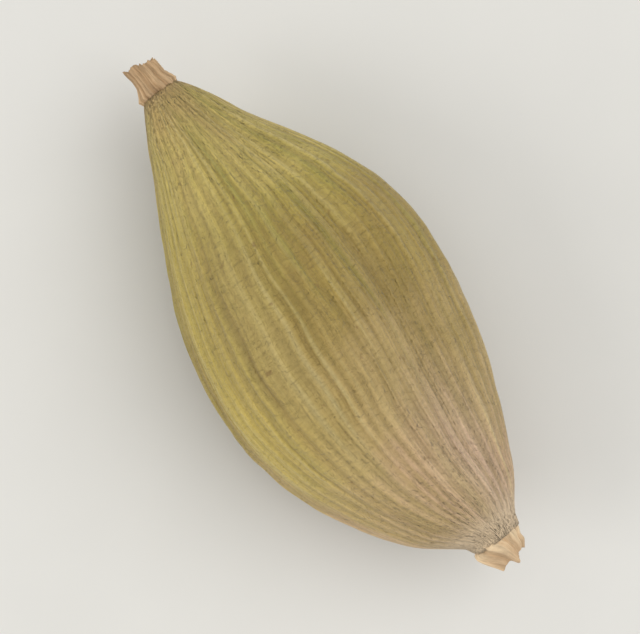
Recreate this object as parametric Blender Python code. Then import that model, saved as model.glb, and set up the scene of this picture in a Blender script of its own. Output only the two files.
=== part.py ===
"""Dried green cardamom pod, lying on one of its three faces.

Metres, +Z up. The pod lies along X, with its stalk end at -X and its flower end at +X. The origin is on the
surface that the pod rests on, under the middle of its bounding box.
"""

from dataclasses import dataclass
from math import atan2, cos, exp, pi, radians, sin

import bmesh
import bpy
from mathutils import Matrix

MM = 0.001

# Husk: a spindle, fullest a little past its middle, with a slender stalk end
HUSK_LENGTH = 12.7 * MM
BELLY_RADIUS = 3.22 * MM
END_RADIUS = 0.8 * MM
BELLY_SKEW = 1.084  # 1 puts the belly halfway along, more moves it to the flower end
STALK_TAPER = 1.44  # more makes an end more slender
FLOWER_TAPER = 0.86
BOW = 0.4 * MM  # how far the husk swings to -Y
BOW_SKEW = 2.4  # more moves the bow to the flower end

# Husk section: three rounded ridges, at angles from +Y towards +Z. The pod lies between the last two.
RIDGE_ANGLES = (radians(120), radians(214), radians(339))
RIDGE_RISE = 0.34  # of the radius
RIDGE_NARROWNESS = 3.0
RIDGE_FADE = 0.5  # more makes the ridges fade sooner towards the ends
MEAN_RIDGE = 0.88  # taken off the ridges, so that the belly is as wide as its radius says

RESTING_SPOT_DEPTH = 0.16 * MM  # what the resting spot takes off the round belly
RESTING_CUTTER_SIZE = 20 * MM

# Each end of the husk has a dimple, and the piece that stands in it is clear of the husk all round
GAP = 0.3 * MM
SEAT_DEPTH = 0.45 * MM

HUSK_SEGMENTS = 48
HUSK_RINGS = 36
DIMPLE_SEGMENTS = 24
DIMPLE_RINGS = 12
END_PIECE_ROUNDNESS = 6
END_PIECE_STEPS = 5
AT_POLE = 1 - 1e-6  # on a unit ball, a point past this is a pole


@dataclass
class EndPiece:
    """A short round piece that stands in the dimple at one end of the husk."""

    name: str
    end_x: float  # the end of the husk, from its stalk end
    way: int  # 1 points to +X, -1 to -X
    radius: float
    reach: float  # how far it stands out of the husk
    rise: float  # how far its tip bends up
    outline: tuple  # (share of its length from the foot, share of its radius)


STALK_STUB = EndPiece(
    name="stalk_stub",
    end_x=0.0,
    way=-1,
    radius=0.38 * MM,
    reach=0.9 * MM,
    rise=0.12 * MM,
    outline=((0.0, 0.42), (0.33, 1.0), (0.6, 0.88), (0.85, 0.98), (1.0, 1.1)),
)
FLOWER_REMNANT = EndPiece(
    name="flower_remnant",
    end_x=HUSK_LENGTH,
    way=1,
    radius=0.38 * MM,
    reach=0.9 * MM,
    rise=-0.16 * MM,
    outline=((0.0, 0.42), (0.33, 1.0), (0.6, 0.94), (0.85, 0.72), (1.0, 0.45)),
)


def linear(hex_colour):
    """The linear RGBA of an sRGB hex colour."""
    channels = [int(hex_colour[i : i + 2], 16) / 255 for i in (1, 3, 5)]
    return [c / 12.92 if c <= 0.04045 else ((c + 0.055) / 1.055) ** 2.4 for c in channels] + [1.0]


def dry_material(name, hex_colour, roughness):
    material = bpy.data.materials.new(name)
    material.use_nodes = True
    shader = material.node_tree.nodes["Principled BSDF"]
    shader.inputs["Base Color"].default_value = linear(hex_colour)
    shader.inputs["Roughness"].default_value = roughness
    shader.inputs["Metallic"].default_value = 0.0
    return material


def spindle_radius(share):
    """The husk's radius at a share of its length from the stalk end, ridges aside."""
    skewed = share**BELLY_SKEW
    taper = STALK_TAPER + (FLOWER_TAPER - STALK_TAPER) * share
    fullness = max(4 * skewed * (1 - skewed), 0.0) ** taper
    return END_RADIUS + (BELLY_RADIUS - END_RADIUS) * fullness


def ridge_factor(share, angle):
    """What the three ridges make of the radius at an angle. The husk's two ends are round."""
    ridges = sum(exp(RIDGE_NARROWNESS * (cos(angle - ridge) - 1)) for ridge in RIDGE_ANGLES)
    return 1 + RIDGE_RISE * (ridges - MEAN_RIDGE) * sin(pi * share) ** RIDGE_FADE


def husk_point(share, angle):
    radius = spindle_radius(share) * ridge_factor(share, angle)
    swing = BOW * sin(pi * share**BOW_SKEW)
    return HUSK_LENGTH * share, radius * cos(angle) - swing, radius * sin(angle)


def new_object(name, data, collection, parent=None):
    thing = bpy.data.objects.new(name, data)
    collection.objects.link(thing)
    thing.parent = parent
    return thing


def ball_along_x(segments, rings, lengthwise=1.0, across=1.0):
    """A ball round the origin with its poles on X, stretched to two radii."""
    bm = bmesh.new()
    bmesh.ops.create_uvsphere(bm, u_segments=segments, v_segments=rings, radius=1)
    turn = Matrix.Rotation(radians(90), 4, "Y")
    stretch = Matrix.Diagonal((lengthwise, across, across, 1))
    bmesh.ops.transform(bm, matrix=stretch @ turn, verts=bm.verts)
    return bm


def smooth_mesh(bm, name):
    mesh = bpy.data.meshes.new(name)
    bm.to_mesh(mesh)
    bm.free()
    mesh.shade_smooth()
    return mesh


def make_husk(collection, parent):
    """A unit ball whose every point moves to its place on the husk."""
    bm = ball_along_x(HUSK_SEGMENTS, HUSK_RINGS)
    for vert in bm.verts:
        x, y, z = vert.co
        share = min(max((x + 1) / 2, 0.0), 1.0)
        if abs(x) > AT_POLE:
            vert.co = (HUSK_LENGTH * share, 0, 0)
        else:
            vert.co = husk_point(share, atan2(z, y))
    return new_object("husk", smooth_mesh(bm, "husk"), collection, parent)


def make_end_piece(piece, collection, parent):
    curve = bpy.data.curves.new(piece.name, "CURVE")
    curve.dimensions = "3D"
    curve.bevel_depth = piece.radius
    curve.bevel_resolution = END_PIECE_ROUNDNESS
    curve.resolution_u = END_PIECE_STEPS
    curve.use_fill_caps = True
    spline = curve.splines.new("BEZIER")
    spline.bezier_points.add(len(piece.outline) - 1)
    for point, (share, width) in zip(spline.bezier_points, piece.outline):
        out = share * (SEAT_DEPTH + piece.reach) - SEAT_DEPTH
        bend = piece.rise * max(out / piece.reach, 0) ** 2
        point.co = (piece.end_x + piece.way * out, 0, bend)
        point.radius = width
        point.handle_left_type = point.handle_right_type = "AUTO"
    return new_object(piece.name, curve, collection, parent)


def lay_down(pod_axis, pieces):
    """Puts the middle of the pod over the origin, sunk by what the resting spot takes off it."""
    bpy.context.view_layer.update()
    corners = [corner for piece in pieces for corner in piece.bound_box]
    low = [min(corner[i] for corner in corners) for i in range(3)]
    high = [max(corner[i] for corner in corners) for i in range(3)]
    pod_axis.location = (
        -(low[0] + high[0]) / 2,
        -(low[1] + high[1]) / 2,
        -low[2] - RESTING_SPOT_DEPTH,
    )


def cut(husk, name, bm, location, collection, parent=None):
    cutter = new_object(name, smooth_mesh(bm, name), collection, parent)
    cutter.location = location
    cutter.hide_render = True
    cutter.display_type = "WIRE"
    boolean = husk.modifiers.new(name, "BOOLEAN")
    boolean.operation = "DIFFERENCE"
    boolean.solver = "EXACT"
    boolean.object = cutter


def cut_dimple(husk, piece, collection, parent):
    bm = ball_along_x(DIMPLE_SEGMENTS, DIMPLE_RINGS, SEAT_DEPTH + GAP, piece.radius + GAP)
    cut(husk, f"{piece.name}_dimple", bm, (piece.end_x, 0, 0), collection, parent)


def cut_resting_spot(husk, collection):
    bm = bmesh.new()
    bmesh.ops.create_cube(bm, size=RESTING_CUTTER_SIZE)
    cut(husk, "resting_spot", bm, (0, 0, -RESTING_CUTTER_SIZE / 2), collection)


def main():
    for old in list(bpy.data.objects):
        bpy.data.objects.remove(old)
    pod = bpy.data.collections.new("green_cardamom_pod")
    cutters = bpy.data.collections.new("cutters")
    for collection in (pod, cutters):
        bpy.context.scene.collection.children.link(collection)

    pod_axis = new_object("pod_axis", None, pod)
    husk = make_husk(pod, pod_axis)
    stub = make_end_piece(STALK_STUB, pod, pod_axis)
    remnant = make_end_piece(FLOWER_REMNANT, pod, pod_axis)
    lay_down(pod_axis, (husk, stub, remnant))

    cut_dimple(husk, STALK_STUB, cutters, pod_axis)
    cut_dimple(husk, FLOWER_REMNANT, cutters, pod_axis)
    cut_resting_spot(husk, cutters)

    husk.data.materials.append(dry_material("dried_husk", "#A0914F", 0.6))
    stub.data.materials.append(dry_material("dry_stalk", "#C8AA8C", 0.75))
    remnant.data.materials.append(dry_material("withered_flower", "#B8946E", 0.75))


main()
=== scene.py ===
"""Looks of a dried green cardamom pod: its husk, its stalk stub and its withered flower remnant.

Metres, +Z up. Shapes are worked out in millimetres, with X along the pod from the stalk end of the husk, and are
turned to metres when a mesh is made.
"""

from math import pi, radians

import bpy
import numpy as np
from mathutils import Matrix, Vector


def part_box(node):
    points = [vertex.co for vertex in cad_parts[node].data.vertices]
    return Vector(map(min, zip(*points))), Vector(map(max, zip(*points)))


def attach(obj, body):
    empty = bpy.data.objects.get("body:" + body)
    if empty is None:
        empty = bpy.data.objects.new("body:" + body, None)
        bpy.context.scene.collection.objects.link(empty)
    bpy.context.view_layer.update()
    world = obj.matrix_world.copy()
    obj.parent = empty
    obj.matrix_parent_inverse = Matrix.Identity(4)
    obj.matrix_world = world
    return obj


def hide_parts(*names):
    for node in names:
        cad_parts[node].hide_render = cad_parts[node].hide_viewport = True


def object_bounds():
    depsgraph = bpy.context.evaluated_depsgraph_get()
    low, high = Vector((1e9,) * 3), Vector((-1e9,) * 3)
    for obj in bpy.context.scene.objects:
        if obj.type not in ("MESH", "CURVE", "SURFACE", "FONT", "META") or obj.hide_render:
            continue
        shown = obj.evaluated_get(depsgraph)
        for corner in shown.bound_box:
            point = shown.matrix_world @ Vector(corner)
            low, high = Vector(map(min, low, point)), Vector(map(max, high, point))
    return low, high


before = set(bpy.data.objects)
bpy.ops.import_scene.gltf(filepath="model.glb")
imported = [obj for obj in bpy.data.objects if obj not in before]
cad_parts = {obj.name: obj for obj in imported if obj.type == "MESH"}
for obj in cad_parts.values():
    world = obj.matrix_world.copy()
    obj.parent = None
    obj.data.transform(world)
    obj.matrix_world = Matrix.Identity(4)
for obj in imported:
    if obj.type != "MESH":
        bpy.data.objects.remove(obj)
cad_low, cad_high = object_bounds()

MM = 0.001

# The husk's form, as in the CAD model: a spindle with three rounded ridges
HUSK_LENGTH = 12.7
BELLY_RADIUS = 3.22
END_RADIUS = 0.8
BELLY_SKEW = 1.084
STALK_TAPER = 1.44
FLOWER_TAPER = 0.86
BOW = 0.4
BOW_SKEW = 2.4
RIDGE_ANGLES = tuple(radians(degrees) for degrees in (120, 214, 339))
FACE_ANGLES = tuple(radians(degrees) for degrees in (49.5, 167, 276.5))
RIDGE_RISE = 0.34
RIDGE_NARROWNESS = 3.0
RIDGE_FADE = 0.5
MEAN_RIDGE = 0.88

# The husk closes in on a lip round the foot of each end piece
STALK_SHOULDER = 0.95  # how far from the end the closing starts
STALK_LIP_OUT = 0.14  # how far past the end the lip stands
STALK_LIP_RADIUS = 0.48
FLOWER_SHOULDER = 1.0
FLOWER_LIP_OUT = 0.26
FLOWER_LIP_RADIUS = 0.62
LIP_DEPTH = 0.35
CLOSING_BLUNTNESS = 2.5

# Veins that run the length of the husk, in turns round it and in mm
VEIN_COUNTS = (43, 71, 127)  # main veins, branches, and the finest
VEIN_HEIGHTS = (0.07, 0.038, 0.02)
VEIN_HALF_WIDTH = 0.27  # of the space between two veins
VEIN_SWAY = 0.007
VEIN_TREMBLE = 0.0022

FACE_GROOVE_DEPTH = 0.17
FACE_GROOVE_HALF_WIDTH = radians(12)
CREST_HEIGHT = 0.1
CREST_HALF_WIDTH = radians(8)
SEAM_DEPTH = 0.06
SEAM_HALF_WIDTH = radians(1.8)
DENT_DEPTH = 0.1
SEED_BULGE = 0.05
PLEAT_DEPTH = 0.1
PLEAT_REACH = 1.5
CRUMPLE_HEIGHT = 0.012
RESTING_SOFTNESS = 0.1

HUSK_COLUMNS = 632
HUSK_BODY_ROWS = 128
SHOULDER_ROWS = 10
LIP_ROWS = 3
END_PIECE_COLUMNS = 168
END_PIECE_ROWS = 96
GRAIN_RADIUS = 3.0


def linear(hex_colour):
    """The linear RGBA of an sRGB hex colour."""
    channels = [int(hex_colour[i : i + 2], 16) / 255 for i in (1, 3, 5)]
    return [c / 12.92 if c <= 0.04045 else ((c + 0.055) / 1.055) ** 2.4 for c in channels] + [1.0]


# Shape helpers


def spline_weights(part):
    """How much each of four neighbours counts, for a point at this part of the way between the middle two."""
    return (
        (1 - part) ** 3 / 6,
        (3 * part**3 - 6 * part**2 + 4) / 6,
        (-3 * part**3 + 3 * part**2 + 3 * part + 1) / 6,
        part**3 / 6,
    )


def lumps(along, turn, cells_along, cells_around, seed):
    """Gentle lumps, mostly from -1 to 1, on a skin that closes on itself after one turn."""
    heights = np.random.default_rng(seed).uniform(-2, 2, (cells_along + 3, cells_around))
    row = np.clip(along, 0, 1) * cells_along
    column = (turn % 1) * cells_around
    first_row = np.minimum(row.astype(int), cells_along - 1)
    first_column = column.astype(int)
    total = 0
    for i, row_weight in enumerate(spline_weights(row - first_row)):
        for j, column_weight in enumerate(spline_weights(column - first_column)):
            height = heights[first_row + i, (first_column + j - 1) % cells_around]
            total = total + row_weight * column_weight * height
    return total


def nearness(angle, lines, half_width):
    """1 on the nearest of some lines round the pod, falling to 0 on both sides."""
    return sum(np.exp((np.cos(angle - line) - 1) / (1 - np.cos(half_width))) for line in lines)


def veins(turn, count, seed):
    """Heights from 0 to 1 of unevenly spaced and unevenly strong veins."""
    draw = np.random.default_rng(seed)
    places = np.cumsum(draw.uniform(0.5, 1.5, count))
    places = places / places[-1]
    strengths = draw.uniform(0.35, 1.0, count)
    turn = turn % 1
    after = np.searchsorted(places, turn) % count
    before = (after - 1) % count
    gap = (places[after] - places[before]) % 1
    way = ((turn - places[before]) % 1) / gap
    rise = strengths[before] * np.exp(-((way / VEIN_HALF_WIDTH) ** 2))
    fall = strengths[after] * np.exp(-(((1 - way) / VEIN_HALF_WIDTH) ** 2))
    return rise + fall


def grid_mesh(name, points, marks):
    """A closed skin over a grid of points: rows run along it and columns round it. Its two ends are closed by fans.

    marks are values for each point that the material reads.
    """
    rows, columns = points.shape[:2]
    ends = points[[0, -1]].mean(axis=1)
    vertices = np.concatenate([points.reshape(-1, 3), ends]) * MM
    corner = np.arange(rows * columns).reshape(rows, columns)
    ahead = np.roll(corner, -1, axis=1)
    quads = np.stack([corner[:-1], ahead[:-1], ahead[1:], corner[1:]], axis=-1).reshape(-1, 4)
    foot, tip = rows * columns, rows * columns + 1
    fans = [(foot, b, a) for a, b in zip(corner[0], ahead[0])]
    fans += [(tip, a, b) for a, b in zip(corner[-1], ahead[-1])]
    mesh = bpy.data.meshes.new(name)
    mesh.from_pydata(vertices.tolist(), [], quads.tolist() + [tuple(map(int, fan)) for fan in fans])
    for mark, values in marks.items():
        kind = "FLOAT_VECTOR" if values.ndim == 3 else "FLOAT"
        flat = values.reshape(rows * columns, -1)
        flat = np.concatenate([flat, flat[[0, -1]]])
        layer = mesh.attributes.new(mark, kind, "POINT")
        layer.data.foreach_set("vector" if kind == "FLOAT_VECTOR" else "value", flat.astype(np.float32).ravel())
    lay_out(mesh, rows, columns)
    mesh.shade_smooth()
    return mesh


def lay_out(mesh, rows, columns):
    """The skin unrolled flat, for baking: rows run across the map and columns up it."""
    row, column = np.divmod(np.arange((rows - 1) * columns), columns)
    across = np.stack([row, row, row + 1, row + 1], axis=-1) + 1
    up = np.stack([column, column + 1, column + 1, column], axis=-1)
    fan_column = np.arange(columns)
    foot_across = np.stack([0 * fan_column, 0 * fan_column + 1, 0 * fan_column + 1], axis=-1)
    foot_up = np.stack([fan_column + 0.5, fan_column + 1, fan_column], axis=-1)
    tip_across = rows + 1 - foot_across
    tip_up = foot_up[:, [0, 2, 1]]
    u = np.concatenate([part.ravel() for part in (across, foot_across, tip_across)]) / (rows + 1)
    v = np.concatenate([part.ravel() for part in (up, foot_up, tip_up)]) / columns
    layer = mesh.uv_layers.new(name="OFBake")
    layer.uv.foreach_set("vector", np.stack([u, v], axis=-1).astype(np.float32).ravel())


# Husk


def spindle_radius(share):
    skewed = share**BELLY_SKEW
    taper = STALK_TAPER + (FLOWER_TAPER - STALK_TAPER) * share
    fullness = np.maximum(4 * skewed * (1 - skewed), 0) ** taper
    return END_RADIUS + (BELLY_RADIUS - END_RADIUS) * fullness


def ridge_factor(share, angle):
    ridges = sum(np.exp(RIDGE_NARROWNESS * (np.cos(angle - ridge) - 1)) for ridge in RIDGE_ANGLES)
    return 1 + RIDGE_RISE * (ridges - MEAN_RIDGE) * np.sin(pi * share) ** RIDGE_FADE


def husk_profile():
    """For each row of the husk: its place along the pod, how open it is from 0 on the lip to 1, and the radius
    that it closes to."""
    way_in = np.linspace(0, 1, SHOULDER_ROWS + 1)[1:]
    depth = np.linspace(0, 1, LIP_ROWS + 1)[1:]
    body = np.linspace(STALK_SHOULDER, HUSK_LENGTH - FLOWER_SHOULDER, HUSK_BODY_ROWS)
    stalk_place = STALK_SHOULDER - (STALK_SHOULDER + STALK_LIP_OUT) * way_in
    flower_place = HUSK_LENGTH - FLOWER_SHOULDER + (FLOWER_SHOULDER + FLOWER_LIP_OUT) * way_in
    stalk_inside = -STALK_LIP_OUT + LIP_DEPTH * depth
    flower_inside = HUSK_LENGTH + FLOWER_LIP_OUT - LIP_DEPTH * depth
    inside = 1 - 0.35 * np.sqrt(depth)
    place = np.concatenate([stalk_inside[::-1], stalk_place[::-1], body, flower_place, flower_inside])
    closed = np.zeros(LIP_ROWS)
    closing = 1 - way_in**CLOSING_BLUNTNESS
    opening = np.concatenate([closed, closing[::-1], np.ones(HUSK_BODY_ROWS), closing, closed])
    half = len(place) // 2
    lip = np.concatenate([np.full(half, STALK_LIP_RADIUS), np.full(len(place) - half, FLOWER_LIP_RADIUS)])
    lip[:LIP_ROWS] *= inside[::-1]
    lip[-LIP_ROWS:] *= inside
    return place[:, None], opening[:, None], lip[:, None]


def flatten_below(height, softness):
    """Heights under the softness are pressed up towards 0, as the husk's own weight and the floor do."""
    pressed = softness * np.exp(np.minimum(height - softness, 0) / softness)
    return np.where(height < softness, pressed, height)


def husk_skin():
    place, opening, lip = husk_profile()
    share = np.clip(place / HUSK_LENGTH, 0, 1)
    turn = np.arange(HUSK_COLUMNS)[None, :] / HUSK_COLUMNS
    share, turn = np.broadcast_arrays(share, turn)
    angle = 2 * pi * turn
    from_end = np.minimum(np.clip(place, 0, None), np.clip(HUSK_LENGTH - place, 0, None))
    belly = np.sin(pi * share) ** 0.7
    near_end = np.exp(-((from_end / PLEAT_REACH) ** 2))

    sway = VEIN_SWAY * lumps(share, turn, 5, 9, 11) + VEIN_TREMBLE * lumps(share, turn, 19, 34, 12)
    vein_turn = turn + sway
    main, branch, fine = (veins(vein_turn, count, 5 + count) for count in VEIN_COUNTS)
    main = main * (0.8 + 0.35 * lumps(share, turn, 8, 30, 13))
    branch = branch * np.clip(0.5 + 1.1 * lumps(share, turn, 6, 16, 14), 0, 1)
    fine = fine * (0.7 + 0.5 * lumps(share, turn, 12, 24, 15))
    heights = [height * kind for height, kind in zip(VEIN_HEIGHTS, (main, branch, fine))]
    vein = sum(heights) / VEIN_HEIGHTS[0]
    girth = spindle_radius(share) / BELLY_RADIUS

    groove = nearness(angle + 2 * pi * sway, FACE_ANGLES, FACE_GROOVE_HALF_WIDTH)
    seam = nearness(angle + 2 * pi * sway, RIDGE_ANGLES, SEAM_HALF_WIDTH)
    crest = nearness(angle + 2 * pi * sway, RIDGE_ANGLES, CREST_HALF_WIDTH)
    ridge = nearness(angle, RIDGE_ANGLES, radians(13)) * belly

    relief = VEIN_HEIGHTS[0] * (vein - 0.5) * girth
    relief = relief - FACE_GROOVE_DEPTH * groove * belly
    relief = relief + CREST_HEIGHT * crest * belly
    relief = relief - SEAM_DEPTH * seam * belly
    relief = relief + DENT_DEPTH * belly * lumps(share, turn, 5, 6, 21)
    relief = relief + SEED_BULGE * belly * lumps(share, turn, 8, 11, 22)
    relief = relief + PLEAT_DEPTH * near_end * lumps(share, turn + 0.6 * sway, 6, 17, 23)
    relief = relief + CRUMPLE_HEIGHT * lumps(share, turn, 50, 84, 24)

    radius = spindle_radius(share) * ridge_factor(share, angle) + relief
    radius = lip + (radius - lip) * opening
    swing = BOW * np.sin(pi * share**BOW_SKEW)
    points = np.stack(
        [place + 0 * radius, radius * np.cos(angle) - swing, radius * np.sin(angle)], axis=-1
    )
    grain = np.stack(
        [
            place + 0 * radius,
            GRAIN_RADIUS * np.cos(2 * pi * vein_turn),
            GRAIN_RADIUS * np.sin(2 * pi * vein_turn),
        ],
        axis=-1,
    )
    # The face towards -Y gets a yellower, lighter coat: partly the husk's own yellow, partly painted light for the
    # lamp falling on that side.
    yellow_and_painted_light = nearness(angle, (radians(148),), radians(28)) * belly
    flush = nearness(angle, (radians(50),), radians(28)) * np.clip((share - 0.62) / 0.2, 0, 1)
    # Painted shade: a darker olive band along the ridge at 106 degrees, about 0.4 of the way along the husk.
    painted_shade_band = nearness(angle, (radians(106),), radians(19)) * np.exp(-(((share - 0.4) / 0.15) ** 2))
    marks = {
        "grain": grain,
        "vein": vein,
        "ridge": ridge,
        "seam": seam * belly,
        "yellow_and_painted_light": yellow_and_painted_light,
        "flush": flush,
        "painted_shade_band": painted_shade_band,
        "share": share.copy(),
        "neck": np.where(share < 0.5, 1 - opening, 0),
        "beak": np.where(share > 0.5, 1 - opening, 0),
    }
    return points, marks


def put_on_frame(points, node):
    """Moves the husk's points onto its CAD node: its middle across, its top, and its stalk end along."""
    low, high = (np.array(corner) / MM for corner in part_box(node))
    middle = (points[..., 1].min() + points[..., 1].max()) / 2
    return np.array([low[0], (low[1] + high[1]) / 2 - middle, high[2] - points[..., 2].max()])


def make_husk():
    points, marks = husk_skin()
    shift = put_on_frame(points, "husk")
    points = points + shift
    points[..., 2] = flatten_below(points[..., 2], RESTING_SOFTNESS)
    mesh = grid_mesh("dried_husk", points, marks)
    husk = bpy.data.objects.new("dried_husk", mesh)
    bpy.context.scene.collection.objects.link(husk)
    return husk, shift


# Stalk stub and flower remnant


def end_grid(wall_share):
    """Rows from the foot of an end piece up its wall, and then in over its broken end."""
    along = np.linspace(0, 1, END_PIECE_ROWS)[:, None]
    turn = np.arange(END_PIECE_COLUMNS)[None, :] / END_PIECE_COLUMNS
    along, turn = np.broadcast_arrays(along, turn)
    wall = np.clip(along / wall_share, 0, 1)
    inside = np.clip((along - wall_share) / (1 - wall_share), 0, 1)
    return along, turn, wall, inside


def stand_end_piece(name, x, radius, angle, bend, marks, shift):
    points = np.stack([x, radius * np.cos(angle), radius * np.sin(angle) + bend], axis=-1) + shift
    piece = bpy.data.objects.new(name, grid_mesh(name, points, marks))
    bpy.context.scene.collection.objects.link(piece)
    return piece


def make_stalk_stub(shift):
    """The end of the fruit stalk: a short bundle of dry fibres, swollen at its joint and snapped off at its end."""
    along, turn, wall, inside = end_grid(0.78)
    foot, reach = -0.4, 0.9
    out = foot + (reach - foot) * wall
    twist = turn + 0.05 * out + 0.012 * lumps(along, turn, 5, 7, 35)
    cords = veins(twist, 11, 31)
    threads = veins(twist, 31, 36)
    radius = np.interp(out, (-0.4, -0.12, 0.1, 0.23, 0.36, 0.5, 0.7, 0.9), (0.2, 0.37, 0.46, 0.5, 0.43, 0.37, 0.36, 0.39))
    radius = radius * (0.9 + 0.14 * cords + 0.12 * threads + 0.08 * lumps(along, turn, 9, 8, 32))
    splinters = 0.1 * lumps(0.5 + 0 * along, twist, 2, 25, 33) + 0.1 * cords * threads
    out = out + splinters * np.clip(wall * 5 - 4, 0, 1) ** 2
    face = 0.84 + 0.05 * lumps(inside, turn, 4, 11, 34)
    falling = 1 - (1 - inside) ** 3
    out = out + (face - out) * np.where(inside > 0, falling, 0)
    radius = radius * (1 - 0.97 * inside)
    bend = 0.12 * (np.clip(out, 0, None) / reach) ** 2
    grain = np.stack([-out, 0.4 * np.cos(2 * pi * twist), 0.4 * np.sin(2 * pi * twist)], axis=-1)
    marks = {"grain": grain, "vein": cords * 0.7 + threads * 0.3, "share": wall + 0, "broken": inside + 0}
    return stand_end_piece("dry_stalk_stub", -out, radius, -2 * pi * turn, bend, marks, shift)


def make_flower_remnant(shift):
    """The dried flower tube: a thin-walled cone that crumpled into pleats and twisted as it withered."""
    along, turn, wall, inside = end_grid(0.84)
    foot, reach = -0.35, 0.8
    out = foot + (reach - foot) * wall
    twist = turn + 0.14 * out + 0.03 * lumps(along, turn, 4, 5, 41)
    pleats = veins(twist, 9, 42)
    threads = veins(twist, 33, 45)
    radius = np.interp(out, (-0.35, -0.05, 0.14, 0.27, 0.42, 0.6, 0.8, 0.9), (0.2, 0.46, 0.58, 0.62, 0.56, 0.47, 0.36, 0.3))
    fold = np.clip(0.25 + 0.9 * wall, 0, 1)
    radius = radius * (1 + 0.34 * (pleats - 0.5) * fold + 0.1 * (threads - 0.4) + 0.09 * lumps(along, turn, 10, 9, 43))
    tatters = 0.2 * lumps(0.5 + 0 * along, twist, 2, 11, 44) + 0.08 * pleats
    out = out + tatters * np.clip(wall * 3 - 2, 0, 1) ** 2
    out = out - 0.16 * np.sin(inside * pi / 2)
    radius = radius * (1 - 0.97 * inside)
    bend = -0.16 * (np.clip(out, 0, None) / reach) ** 2
    grain = np.stack([out, 0.4 * np.cos(2 * pi * twist), 0.4 * np.sin(2 * pi * twist)], axis=-1)
    marks = {"grain": grain, "vein": pleats * 0.7 + threads * 0.3, "share": wall + 0, "broken": inside + 0}
    return stand_end_piece("withered_flower_remnant", HUSK_LENGTH + out, radius, 2 * pi * turn, bend, marks, shift)


# Materials


def add(tree, kind, inputs=None, stops=(), **settings):
    """Adds one node to a material: its settings, the stops of its colour ramp, and its inputs, set or linked."""
    node = tree.nodes.new("ShaderNode" + kind)
    for name, value in settings.items():
        setattr(node, name, value)
    for i, (place, hex_colour) in enumerate(stops):
        if i > 1:
            node.color_ramp.elements.new(place)
        node.color_ramp.elements[i].position = place
        node.color_ramp.elements[i].color = linear(hex_colour)
    for name, value in (inputs or {}).items():
        if isinstance(value, bpy.types.NodeSocket):
            tree.links.new(value, node.inputs[name])
        else:
            node.inputs[name].default_value = value
    return node


def new_material(name):
    material = bpy.data.materials.new(name)
    material.use_nodes = True
    tree = material.node_tree
    return material, tree, tree.nodes["Principled BSDF"]


# Places of a colour Mix node's sockets, and of a Map Range node's
MIX_FACTOR, MIX_FIRST, MIX_SECOND, MIXED = 0, 6, 7, 2
FROM_LOW, FROM_HIGH, TO_LOW, TO_HIGH = 1, 2, 3, 4


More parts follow.
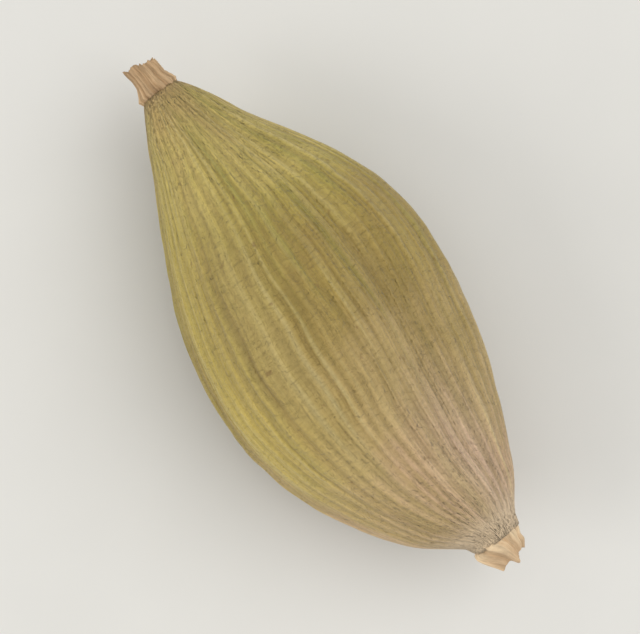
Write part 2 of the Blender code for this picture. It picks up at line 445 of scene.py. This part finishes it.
def husk_material():
    """Kiln-dried cardamom husk: a thin green fruit wall that shrank onto its fibres and faded as it dried.

    It gives the eye a matte, papery skin with a faint silky sheen, pale veins, and a yellowish green that goes to
    olive tan and then to a pinkish straw towards the flower end.
    """
    material, tree, shader = new_material("dried_husk_skin")
    grain = add(tree, "Attribute", attribute_name="grain").outputs["Vector"]
    vein = add(tree, "Attribute", attribute_name="vein").outputs["Fac"]
    ridge = add(tree, "Attribute", attribute_name="ridge").outputs["Fac"]
    seam = add(tree, "Attribute", attribute_name="seam").outputs["Fac"]
    share = add(tree, "Attribute", attribute_name="share").outputs["Fac"]
    yellow_and_painted_light = add(tree, "Attribute", attribute_name="yellow_and_painted_light").outputs["Fac"]
    flush = add(tree, "Attribute", attribute_name="flush").outputs["Fac"]
    painted_shade_band = add(tree, "Attribute", attribute_name="painted_shade_band").outputs["Fac"]
    neck = add(tree, "Attribute", attribute_name="neck").outputs["Fac"]
    beak = add(tree, "Attribute", attribute_name="beak").outputs["Fac"]

    # Fibres in the skin are about 0.1 mm thick and run for several mm
    stretched = add(tree, "VectorMath", {0: grain, 1: (0.06, 1, 1)}, operation="MULTIPLY").outputs[0]
    fibres = add(tree, "TexNoise", {"Vector": stretched, "Scale": 1 / 0.13, "Detail": 4.0, "Roughness": 0.6})
    fibres = fibres.outputs["Fac"]
    streaks = add(tree, "TexNoise", {"Vector": stretched, "Scale": 1 / 0.45, "Detail": 3.0, "Roughness": 0.55})
    streaks = streaks.outputs["Fac"]
    # Patches that faded more than others are 1 to 3 mm across
    patches = add(tree, "TexNoise", {"Vector": grain, "Scale": 1 / 2.2, "Detail": 6.0, "Roughness": 0.6})
    patches = patches.outputs["Fac"]
    # The dried skin is finely crinkled across the fibres, about 0.15 mm from crinkle to crinkle
    crosswise = add(tree, "VectorMath", {0: grain, 1: (1.7, 1, 1)}, operation="MULTIPLY").outputs[0]
    crinkles = add(tree, "TexNoise", {"Vector": crosswise, "Scale": 1 / 0.2, "Detail": 4.0, "Distortion": 0.4})
    crinkles = crinkles.outputs["Fac"]

    patchy = add(tree, "MapRange", {"Value": patches, FROM_LOW: 0.3, FROM_HIGH: 0.7, TO_LOW: -0.12, TO_HIGH: 0.12})
    place = add(tree, "Math", {0: share, 1: patchy.outputs[0]}, operation="ADD").outputs[0]
    ground = add(
        tree,
        "ValToRGB",
        {"Fac": place},
        stops=(
            (0.0, "#D8B972"),
            (0.11, "#D2BC6B"),
            (0.24, "#B4A24F"),
            (0.4, "#A38B45"),
            (0.56, "#A58C4F"),
            (0.72, "#BFA46E"),
            (0.86, "#CDAB84"),
            (1.0, "#F0CEA6"),
        ),
    ).outputs["Color"]

    # Each coat: how much of it, and its colour. Later coats lie over earlier ones.
    # The -Y face's yellow coat is partly the husk's own colour and partly painted light on that side.
    yellow_face_and_painted_light = add(tree, "Math", {0: yellow_and_painted_light, 1: 0.62}, operation="MULTIPLY").outputs[0]
    pink_flush = add(tree, "Math", {0: flush, 1: 0.5}, operation="MULTIPLY").outputs[0]
    # The darker olive band on the top ridge is painted shade.
    painted_shade_band_coat = add(tree, "Math", {0: painted_shade_band, 1: 0.5}, operation="MULTIPLY").outputs[0]
    bleached = add(tree, "MapRange", {"Value": streaks, FROM_LOW: 0.45, FROM_HIGH: 0.72, TO_HIGH: 0.4}).outputs[0]
    greenest = add(tree, "MapRange", {"Value": place, FROM_LOW: 0.2, FROM_HIGH: 0.9, TO_LOW: 0.4, TO_HIGH: 0.1})
    green_left = {"Value": streaks, FROM_LOW: 0.46, FROM_HIGH: 0.3, TO_HIGH: greenest.outputs[0]}
    green_left = add(tree, "MapRange", green_left).outputs[0]
    pale_vein = add(tree, "MapRange", {"Value": vein, FROM_LOW: 0.55, FROM_HIGH: 1.3, TO_HIGH: 0.5}).outputs[0]
    hollow = add(tree, "MapRange", {"Value": vein, FROM_LOW: 0.5, FROM_HIGH: 0.05, TO_HIGH: 0.45}).outputs[0]
    rubbed_ridge = add(tree, "Math", {0: ridge, 1: 0.12}, operation="MULTIPLY").outputs[0]
    browned_seam = add(tree, "Math", {0: seam, 1: 0.3}, operation="MULTIPLY").outputs[0]
    specks = add(tree, "TexNoise", {"Vector": grain, "Scale": 1 / 0.26, "Detail": 2.0}).outputs["Fac"]
    few_specks = add(tree, "MapRange", {"Value": specks, FROM_LOW: 0.68, FROM_HIGH: 0.78, TO_HIGH: 0.55}).outputs[0]
    tanned_neck = add(tree, "MapRange", {"Value": neck, FROM_LOW: 0.35, FROM_HIGH: 1.0, TO_HIGH: 0.7}).outputs[0]
    pink_beak = add(tree, "MapRange", {"Value": beak, FROM_LOW: 0.0, FROM_HIGH: 0.3, TO_HIGH: 0.8}).outputs[0]
    colour = ground
    for amount, hex_colour in (
        # yellow of the -Y face, made lighter there as painted light
        (yellow_face_and_painted_light, "#DAC35A"),
        (pink_flush, "#E2C2AC"),
        # painted shade on the top ridge band
        (painted_shade_band_coat, "#8E7840"),
        (green_left, "#8E8E44"),
        (bleached, "#BEAC6E"),
        (hollow, "#8A753C"),
        (pale_vein, "#CBBB84"),
        (rubbed_ridge, "#CDBB86"),
        (browned_seam, "#8A7040"),
        (few_specks, "#7A5C34"),
        (tanned_neck, "#D0AE7A"),
        (pink_beak, "#F0D6B2"),
    ):
        mix = {MIX_FACTOR: amount, MIX_FIRST: colour, MIX_SECOND: linear(hex_colour)}
        colour = add(tree, "Mix", mix, data_type="RGBA").outputs[MIXED]
    threads = add(tree, "MapRange", {"Value": fibres, FROM_LOW: 0.3, FROM_HIGH: 0.7, TO_LOW: 0.84, TO_HIGH: 1.14})
    colour = add(tree, "HueSaturation", {"Color": colour, "Value": threads.outputs[0]}).outputs[0]
    tree.links.new(colour, shader.inputs["Base Color"])

    dull = add(tree, "MapRange", {"Value": fibres, FROM_LOW: 0.3, FROM_HIGH: 0.7, TO_LOW: 0.7, TO_HIGH: 0.52})
    tree.links.new(dull.outputs[0], shader.inputs["Roughness"])
    crinkled = add(tree, "Bump", {"Height": crinkles, "Strength": 1.0, "Distance": 0.14 * MM})
    fibrous = {"Height": fibres, "Strength": 1.0, "Distance": 0.12 * MM, "Normal": crinkled.outputs[0]}
    tree.links.new(add(tree, "Bump", fibrous).outputs[0], shader.inputs["Normal"])
    shader.inputs["IOR"].default_value = 1.45
    shader.inputs["Sheen Weight"].default_value = 0.1
    shader.inputs["Sheen Roughness"].default_value = 0.4
    return material


def dead_fibre(name, pale, hollow, tip, broken_end, roughness):
    """Dead plant fibre, dried in air: pale cords with tan hollows between them, and quite matte."""
    material, tree, shader = new_material(name)
    grain = add(tree, "Attribute", attribute_name="grain").outputs["Vector"]
    vein = add(tree, "Attribute", attribute_name="vein").outputs["Fac"]
    share = add(tree, "Attribute", attribute_name="share").outputs["Fac"]
    broken = add(tree, "Attribute", attribute_name="broken").outputs["Fac"]
    # Single fibres are about 0.05 mm thick
    stretched = add(tree, "VectorMath", {0: grain, 1: (0.12, 1, 1)}, operation="MULTIPLY").outputs[0]
    fibres = add(tree, "TexNoise", {"Vector": stretched, "Scale": 1 / 0.06, "Detail": 3.0, "Roughness": 0.6})
    fibres = fibres.outputs["Fac"]
    patches = add(tree, "TexNoise", {"Vector": grain, "Scale": 1 / 0.4, "Detail": 4.0}).outputs["Fac"]
    low = add(tree, "MapRange", {"Value": vein, FROM_LOW: 0.45, FROM_HIGH: 0.05, TO_HIGH: 0.7}).outputs[0]
    patchy = add(tree, "MapRange", {"Value": patches, FROM_LOW: 0.52, FROM_HIGH: 0.75, TO_HIGH: 0.5}).outputs[0]
    near_tip = add(tree, "MapRange", {"Value": share, FROM_LOW: 0.6, FROM_HIGH: 1.0, TO_HIGH: 0.8}).outputs[0]
    deep = add(tree, "MapRange", {"Value": broken, FROM_LOW: 0.05, FROM_HIGH: 0.6}).outputs[0]
    colour = linear(pale)
    for amount, hex_colour in ((low, hollow), (patchy, hollow), (near_tip, tip), (deep, broken_end)):
        mix = {MIX_FACTOR: amount, MIX_FIRST: colour, MIX_SECOND: linear(hex_colour)}
        colour = add(tree, "Mix", mix, data_type="RGBA").outputs[MIXED]
    threads = add(tree, "MapRange", {"Value": fibres, FROM_LOW: 0.3, FROM_HIGH: 0.7, TO_LOW: 0.72, TO_HIGH: 1.2})
    colour = add(tree, "HueSaturation", {"Color": colour, "Value": threads.outputs[0]}).outputs[0]
    tree.links.new(colour, shader.inputs["Base Color"])
    dull = {"Value": fibres, FROM_LOW: 0.3, FROM_HIGH: 0.7, TO_LOW: roughness + 0.06, TO_HIGH: roughness - 0.06}
    tree.links.new(add(tree, "MapRange", dull).outputs[0], shader.inputs["Roughness"])
    bump = add(tree, "Bump", {"Height": fibres, "Strength": 1.0, "Distance": 0.07 * MM})
    tree.links.new(bump.outputs[0], shader.inputs["Normal"])
    shader.inputs["IOR"].default_value = 1.45
    return material


def floor_material():
    """Matte white card, pressed smooth: a pale ground with no gloss, and a very faint mottle."""
    material, tree, shader = new_material("white_card")
    place = add(tree, "TexCoord").outputs["Object"]
    mottle = add(tree, "TexNoise", {"Vector": place, "Scale": 1 / (3 * MM), "Detail": 4.0})
    tone = add(tree, "MapRange", {"Value": mottle.outputs[0], 1: 0.3, 2: 0.7, 3: 0.98, 4: 1.0})
    colour = add(tree, "HueSaturation", {"Color": linear("#DBDAD6"), "Value": tone.outputs[0]}).outputs[0]
    tree.links.new(colour, shader.inputs["Base Color"])
    shader.inputs["Roughness"].default_value = 0.9
    return material


# Scene


def make_floor():
    mesh = bpy.data.meshes.new("floor")
    side = 4.0
    mesh.from_pydata([(-side, -side, 0), (side, -side, 0), (side, side, 0), (-side, side, 0)], [], [(0, 1, 2, 3)])
    mesh.materials.append(floor_material())
    floor = bpy.data.objects.new("floor", mesh)
    bpy.context.scene.collection.objects.link(floor)


def make_light(name, watts, size, place, aim):
    light = bpy.data.lights.new(name, "AREA")
    light.energy = watts
    light.shape = "DISK"
    light.size = size
    lamp = bpy.data.objects.new(name, light)
    lamp.location = place
    lamp.rotation_mode = "QUATERNION"
    lamp.rotation_quaternion = (lamp.location - aim).to_track_quat("Z", "Y")
    bpy.context.scene.collection.objects.link(lamp)


def light_the_pod(middle):
    make_light("softbox_key", 5.4, 0.8, (-0.42, -1.14, 0.74), middle)
    make_light("softbox_overhead", 13.0, 1.6, (0.25, 0.8, 1.5), middle)
    world = bpy.data.worlds.new("studio")
    world.use_nodes = True
    world.node_tree.nodes["Background"].inputs["Color"].default_value = linear("#F2F1EE")
    world.node_tree.nodes["Background"].inputs["Strength"].default_value = 0.74
    bpy.context.scene.world = world


PHOTO_ROLL = radians(52.85)
LENS = 150
SENSOR = 36
VIEW_WIDTH = 14.9 * MM


def make_camera(middle):
    lens = bpy.data.cameras.new("camera")
    lens.lens = LENS
    lens.sensor_width = SENSOR
    lens.clip_start = MM
    lens.clip_end = 10
    camera = bpy.data.objects.new("camera", lens)
    camera.location = (middle.x, middle.y, middle.z + VIEW_WIDTH * LENS / SENSOR)
    camera.rotation_euler = (0, 0, PHOTO_ROLL)
    bpy.context.scene.collection.objects.link(camera)
    bpy.context.scene.camera = camera


def main():
    husk, shift = make_husk()
    stub = make_stalk_stub(shift)
    remnant = make_flower_remnant(shift)
    husk.data.materials.append(husk_material())
    stalk = dead_fibre("dry_stalk_fibre", "#C8A982", "#96744E", "#BE9E78", "#AA8A64", 0.75)
    flower = dead_fibre("withered_flower_tube", "#E8CEA8", "#B89670", "#CCAA84", "#8E6C4A", 0.72)
    stub.data.materials.append(stalk)
    remnant.data.materials.append(flower)
    for piece, node, slot in (
        (husk, "husk", "dried_husk"),
        (stub, "stalk_stub", "dry_stalk"),
        (remnant, "flower_remnant", "withered_flower"),
    ):
        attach(piece, "root")
        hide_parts(node)

    middle = (cad_low + cad_high) / 2
    make_floor()
    light_the_pod(middle)
    make_camera(middle)
    bpy.context.scene.view_settings.view_transform = "Standard"


main()
